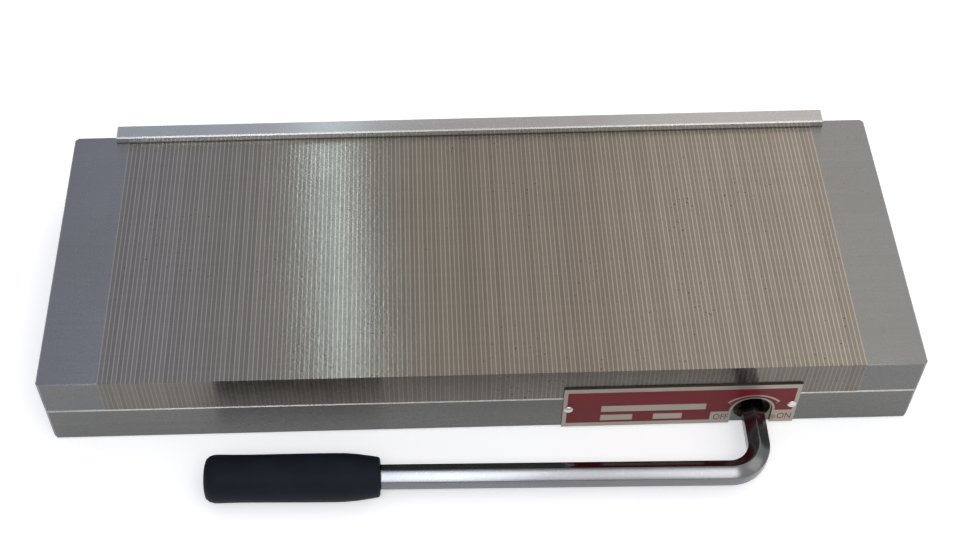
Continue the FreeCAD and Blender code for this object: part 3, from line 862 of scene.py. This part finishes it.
def sweep_half(arrow, side, centre):
    """Sweeps one half of the arrow's arc from its top, grows its head and runs the head to a point."""
    looks_out = facing(Vector((side, 0, 0)))
    edit(arrow, "FACE")
    select_where(
        arrow, "polygons", lambda mesh, face: looks_out(mesh, face) and abs(face.center.x - CAM_X) < MM
    )
    bpy.ops.mesh.spin(steps=20, angle=side * ARROW_SWEEP, center=centre, axis=(0, 1, 0))
    bpy.ops.object.mode_set(mode="OBJECT")
    ends = [face.center for face in arrow.data.polygons if face.select]
    middle = sum(ends, Vector()) / len(ends)
    forward = Vector((side * math.cos(ARROW_SWEEP), 0, -math.sin(ARROW_SWEEP)))
    tip = middle + forward * (HEAD_STEP + HEAD_LENGTH)
    bpy.ops.object.mode_set(mode="EDIT")
    for reach, scale, pivot in ((HEAD_STEP, HEAD_SPREAD, middle), (HEAD_LENGTH, HEAD_POINT, tip)):
        bpy.ops.mesh.extrude_region_move(TRANSFORM_OT_translate={"value": forward * reach})
        bpy.ops.transform.resize(value=(scale, 1, scale), center_override=pivot)
    bpy.ops.object.mode_set(mode="OBJECT")


class TurningArrow(bpy.types.Operator):
    """Models the double-headed arrow that shows how the key turns"""

    bl_idname = "chuck.turning_arrow"
    bl_label = "Turning arrow"

    def execute(self, context):
        half_width = sizes().arrow_width / 2
        centre = Vector((CAM_X, 0, CAM_Z - sizes().arrow_drop))
        front = PLATE_LOW.y - sizes().enamel_thickness
        top = centre.z + sizes().arrow_radius
        start = 0.05 * MM
        arrow = box_piece(
            "nameplate_arrow",
            (CAM_X - start, front - 0.04 * MM, top - half_width),
            (CAM_X + start, front + 0.03 * MM, top + half_width),
        )
        for side in (-1, 1):
            sweep_half(arrow, side, centre)
        close_seams(arrow)
        smooth(arrow)
        dress(arrow, bpy.data.materials["Plate metal"], "chuck_body")
        return {"FINISHED"}


def printed_word(name, word, material):
    """A switch word printed on the plate, as thin raised letters."""
    text, centre_x, centre_z, width = word
    start_clean()
    bpy.ops.object.text_add(location=(0, 0, 0), rotation=(0, 0, 0))
    letters = bpy.context.object
    letters.name = name
    letters.data.body = text
    letters.data.extrude = 0.5
    letters.data.resolution_u = 6
    bpy.ops.object.convert(target="MESH")
    corners = [vertex.co for vertex in letters.data.vertices]
    low = Vector([min(corner[axis] for corner in corners) for axis in range(3)])
    high = Vector([max(corner[axis] for corner in corners) for axis in range(3)])
    middle = (low + high) / 2
    scale = Vector((width * MM / (high.x - low.x), sizes().word_height / (high.y - low.y), 0.05 * MM))
    letters.scale = scale
    letters.rotation_euler = (math.pi / 2, 0, 0)
    letters.location = (
        centre_x * MM - middle.x * scale.x,
        PLATE_LOW.y + 0.005 * MM,
        centre_z * MM - middle.y * scale.y,
    )
    settle(letters)
    close_seams(letters)
    dress(letters, material, "chuck_body")


class SwitchWords(bpy.types.Operator):
    """Prints the two switch words on their bare panels"""

    bl_idname = "chuck.switch_words"
    bl_label = "Switch words"

    def execute(self, context):
        printed_word("nameplate_word_off", OFF_WORD, enamel_material("Dark print", shade("dark_print"), 0.4))
        printed_word("nameplate_word_on", ON_WORD, enamel_material("Red print", shade("red_print"), 0.4))
        return {"FINISHED"}


def domed_head(centre, radius, height):
    """One domed rivet head that stands off the plate."""
    start_clean()
    bpy.ops.mesh.primitive_uv_sphere_add(
        segments=40, ring_count=20, radius=radius, location=centre, rotation=(math.pi / 2, 0, 0)
    )
    rivet = bpy.context.object
    settle(rivet)
    edit(rivet, "VERT")
    bpy.ops.mesh.select_all(action="SELECT")
    bpy.ops.mesh.bisect(plane_co=centre, plane_no=(0, 1, 0), clear_outer=True, use_fill=True)
    bpy.ops.mesh.select_all(action="SELECT")
    bpy.ops.transform.resize(value=(1, height / radius, 1), center_override=centre)
    bpy.ops.object.mode_set(mode="OBJECT")
    return rivet


class DomedRivets(bpy.types.Operator):
    """Models the two drive rivets of the nameplate with domed heads"""

    bl_idname = "chuck.domed_rivets"
    bl_label = "Domed rivets"

    def execute(self, context):
        low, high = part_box("nameplate_rivets")
        radius = (high.z - low.z) / 2
        middle_z = (low.z + high.z) / 2
        height = PLATE_LOW.y - low.y
        first = domed_head((low.x + radius, PLATE_LOW.y, middle_z), radius, height)
        second = domed_head((high.x - radius, PLATE_LOW.y, middle_z), radius, height)
        only(first)
        second.select_set(True)
        bpy.ops.object.join()
        rivets = bpy.context.object
        rivets.name = "nameplate_rivet_heads"
        smooth(rivets, 50)
        metal = worn_metal("Rivet metal", shade("rivet_metal"), 0.25, grain=1400.0, smudge=0.35)
        dress(rivets, metal, "chuck_body")
        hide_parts("nameplate_rivets")
        return {"FINISHED"}


def key_bend():
    """The centre of the key's bend, the end of the bend and the way the long leg runs from there."""
    radius = sizes().key_bend_radius
    centre = Vector((CAM_X - radius, BASE_LOW.y + radius - sizes().key_standoff, CAM_Z))
    outward = Vector((math.cos(KEY_BEND_ANGLE), -math.sin(KEY_BEND_ANGLE), 0))
    direction = Vector((-math.sin(KEY_BEND_ANGLE), -math.cos(KEY_BEND_ANGLE), 0))
    return centre, centre + outward * radius, direction


class Key(bpy.types.Operator):
    """Models the bent hexagon key with rounded edges"""

    bl_idname = "chuck.key"
    bl_label = "Hexagon key"

    def execute(self, context):
        centre, _, direction = key_bend()
        start_clean()
        bpy.ops.mesh.primitive_cylinder_add(
            vertices=6,
            radius=sizes().key_across_flats / math.sqrt(3),
            depth=KEY_TIP_Y - centre.y,
            location=(CAM_X, (KEY_TIP_Y + centre.y) / 2, CAM_Z),
            rotation=(math.pi / 2, 0, 0),
        )
        key = bpy.context.object
        key.name = "switch_key"
        settle(key)
        edit(key, "FACE")
        select_where(key, "polygons", facing(Vector((0, -1, 0))))
        bpy.ops.mesh.spin(steps=28, angle=KEY_BEND_ANGLE, center=centre, axis=(0, 0, 1))
        reach = sizes().key_long_leg - GRIP_END_WALL
        bpy.ops.mesh.extrude_region_move(TRANSFORM_OT_translate={"value": direction * reach})
        bpy.ops.object.mode_set(mode="OBJECT")
        apply_modifier(
            key,
            "BEVEL",
            "Round edges",
            width=sizes().key_edge_round,
            segments=3,
            limit_method="ANGLE",
            angle_limit=math.radians(30),
            harden_normals=False,
        )
        smooth(key, 32)
        dress(key, key_material(), "key")
        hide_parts("hex_key")
        return {"FINISHED"}


class Grip(bpy.types.Operator):
    """Models the moulded grip: a tapered nose, a slight waist and a rounded end"""

    bl_idname = "chuck.grip"
    bl_label = "Grip"

    def execute(self, context):
        _, bend_end, direction = key_bend()
        nose = bend_end + direction * (sizes().key_long_leg - sizes().grip_length)
        thick = sizes().grip_radius / (max(radius for _, radius in GRIP_PROFILE) * MM)
        start_clean()
        bpy.ops.mesh.primitive_circle_add(
            vertices=48,
            radius=GRIP_PROFILE[0][1] * MM * thick,
            fill_type="NGON",
            location=nose,
            rotation=(0, math.pi / 2, 0),
        )
        grip = bpy.context.object
        grip.name = "key_rubber_grip"
        settle(grip)
        edit(grip, "VERT")
        bpy.ops.mesh.select_all(action="SELECT")
        place = nose.copy()
        for (past, old), (now, new) in zip(GRIP_PROFILE, GRIP_PROFILE[1:]):
            step = Vector((-(now - past) * MM, 0, 0))
            place += step
            bpy.ops.mesh.extrude_region_move(TRANSFORM_OT_translate={"value": step})
            bpy.ops.transform.resize(value=(1, new / old, new / old), center_override=place)
        bpy.ops.mesh.select_all(action="SELECT")
        bpy.ops.mesh.normals_make_consistent(inside=False)
        bpy.ops.object.mode_set(mode="OBJECT")
        edit(grip, "FACE")
        select_where(grip, "polygons", facing(Vector((1, 0, 0))))
        bpy.ops.mesh.inset(thickness=NOSE_WALL)
        bpy.ops.mesh.extrude_region_move(TRANSFORM_OT_translate={"value": (-NOSE_HOLLOW, 0, 0)})
        bpy.ops.mesh.select_all(action="SELECT")
        bpy.ops.transform.rotate(
            value=KEY_BEND_ANGLE - math.pi / 2, orient_axis="Z", orient_type="GLOBAL", center_override=nose
        )
        bpy.ops.object.mode_set(mode="OBJECT")
        smooth(grip, 40)
        dress(grip, rubber_material(), "key")
        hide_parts("key_grip")
        return {"FINISHED"}


class Stage(bpy.types.Operator):
    """Lays the floor and sets the lamps, the sky and the camera"""

    bl_idname = "chuck.stage"
    bl_label = "Studio"

    def execute(self, context):
        lay_floor()
        hang_lamps()
        paint_sky()
        place_camera()
        context.scene.view_settings.view_transform = "Standard"
        return {"FINISHED"}


def lay_floor():
    """A pale floor that keeps the object's shadow."""
    start_clean()
    bpy.ops.mesh.primitive_plane_add(size=12.0, location=(0, 0, -0.3 * MM))
    floor = bpy.context.object
    floor.name = "studio_floor"
    settle(floor)
    material, tree, shader, place = new_material("Studio floor", Roughness=0.9, Specular_IOR_Level=0.0)
    tone = maths(tree, "MULTIPLY_ADD", noise(tree, place, 90.0, 3.0), 0.02, 0.99)
    tree.links.new(toned(tree, shade("floor"), tone), shader.inputs["Base Color"])
    path = tree.nodes.new("ShaderNodeLightPath")
    seen = maths(tree, "MAXIMUM", path.outputs["Is Camera Ray"], path.outputs["Is Glossy Ray"])
    seen = maths(tree, "MAXIMUM", seen, path.outputs["Is Transmission Ray"])
    shader.inputs["Emission Color"].default_value = (1, 1, 1, 1)
    tree.links.new(maths(tree, "MULTIPLY", seen, 0.33), shader.inputs["Emission Strength"])
    floor.data.materials.append(material)


def area_lamp(name, place, target, width, height, radiance, tint=(1, 1, 1)):
    """A soft rectangular lamp whose face has the asked radiance, unseen by the camera."""
    start_clean()
    bpy.ops.object.light_add(type="AREA", location=place)
    lamp = bpy.context.object
    lamp.name = name
    lamp.rotation_euler = (Vector(target) - Vector(place)).to_track_quat("-Z", "Y").to_euler()
    lamp.data.shape = "RECTANGLE"
    lamp.data.size, lamp.data.size_y = width, height
    lamp.data.energy = radiance * math.pi * width * height
    lamp.data.color = tint
    lamp.visible_camera = False


def hang_lamps():
    """Three soft lamps in front, a long narrow one behind and a weak one on the right."""
    area_lamp("lamp_front", (0.05, -0.95, 1.45), (0.05, 0, 0), 1.25, 0.5, 2.6)
    area_lamp("lamp_window", (-0.31, -0.95, 1.45), (0, -0.11, 0), 0.42, 0.5, 3.4, (0.92, 1.0, 1.0))
    area_lamp("lamp_front_right", (0.48, -0.95, 1.45), (0, -0.11, 0), 0.5, 0.5, 1.2)
    area_lamp("lamp_strip", (-0.182, 1.25, 1.6), (-0.07, 0, 0.045), 0.035, 1.3, 3.3, (0.66, 0.92, 1.0))
    area_lamp("lamp_right", (1.6, -0.4, 1.3), (0, 0, 0), 0.8, 0.8, 0.8, (1.0, 0.98, 0.95))


def paint_sky():
    """A pale sky, cooler on the left and brighter and warmer on the right, with an even pale horizon."""
    world = bpy.data.worlds.new("Studio sky")
    bpy.context.scene.world = world
    world.use_nodes = True
    tree = world.node_tree
    sky = tree.nodes["Background"]
    direction = axes(tree, coordinates(tree, "Generated"))
    ramp = add_node(
        tree, "ShaderNodeValToRGB", {"Fac": maths(tree, "MULTIPLY_ADD", direction["X"], 0.5, 0.5)}
    )
    set_stops(
        ramp,
        [
            (0.0, (0.42, 0.44, 0.54)),
            (0.25, (0.46, 0.49, 0.61)),
            (0.42, (0.54, 0.58, 0.69)),
            (0.51, (0.67, 0.64, 0.61)),
            (0.55, (0.74, 0.69, 0.66)),
            (0.59, (1.0, 0.93, 0.88)),
            (0.65, (1.06, 1.03, 0.99)),
            (0.75, (0.95, 0.94, 0.92)),
            (1.0, (0.6, 0.6, 0.6)),
        ],
    )
    horizon = ranged(tree, direction["Z"], 0.30, 0.12)
    tree.links.new(mixed(tree, horizon, ramp.outputs["Color"], (0.95, 0.95, 0.95)), sky.inputs["Color"])


def place_camera():
    """The camera in front, above and slightly to the left."""
    bpy.ops.object.camera_add(
        location=(-0.02422, -0.45777, 0.61726),
        rotation=[math.radians(angle) for angle in (38.6162, 0.5964, -1.3354)],
    )
    camera = bpy.context.object
    camera.name = "studio_camera"
    camera.data.lens = 57.575
    camera.data.sensor_width = 36.0
    camera.data.shift_x = 0.04702
    camera.data.shift_y = -0.03149
    camera.data.clip_start = 0.01
    bpy.context.scene.camera = camera


OPERATORS = (
    GroundSteel,
    WorkingFace,
    StopRail,
    Fasteners,
    CamParts,
    InnerParts,
    Nameplate,
    Enamel,
    TurningArrow,
    SwitchWords,
    DomedRivets,
    Key,
    Grip,
    Stage,
)


class ChuckPanel(bpy.types.Panel):
    """Lists the steps that build the chuck's looks"""

    bl_idname = "VIEW3D_PT_chuck"
    bl_label = "Magnetic chuck"
    bl_space_type = "VIEW_3D"
    bl_region_type = "UI"
    bl_category = "Chuck"

    def draw(self, context):
        column = self.layout.column()
        for operator in OPERATORS:
            column.operator(operator.bl_idname)
        for group in (context.scene.chuck_sizes, context.scene.chuck_colours):
            for name in group.__annotations__:
                column.prop(group, name)


CLASSES = (ChuckSizes, ChuckColours, *OPERATORS, ChuckPanel)


def register():
    """Registers the classes and the scene's settings."""
    for one in CLASSES:
        bpy.utils.register_class(one)
    bpy.types.Scene.chuck_sizes = bpy.props.PointerProperty(type=ChuckSizes)
    bpy.types.Scene.chuck_colours = bpy.props.PointerProperty(type=ChuckColours)


def unregister():
    """Takes the settings and the classes away again."""
    del bpy.types.Scene.chuck_colours
    del bpy.types.Scene.chuck_sizes
    for one in reversed(CLASSES):
        bpy.utils.unregister_class(one)


def main():
    """Builds everything in order."""
    register()
    for operator in OPERATORS:
        family, name = operator.bl_idname.split(".")
        getattr(getattr(bpy.ops, family), name)()


if __name__ == "__main__":
    main()
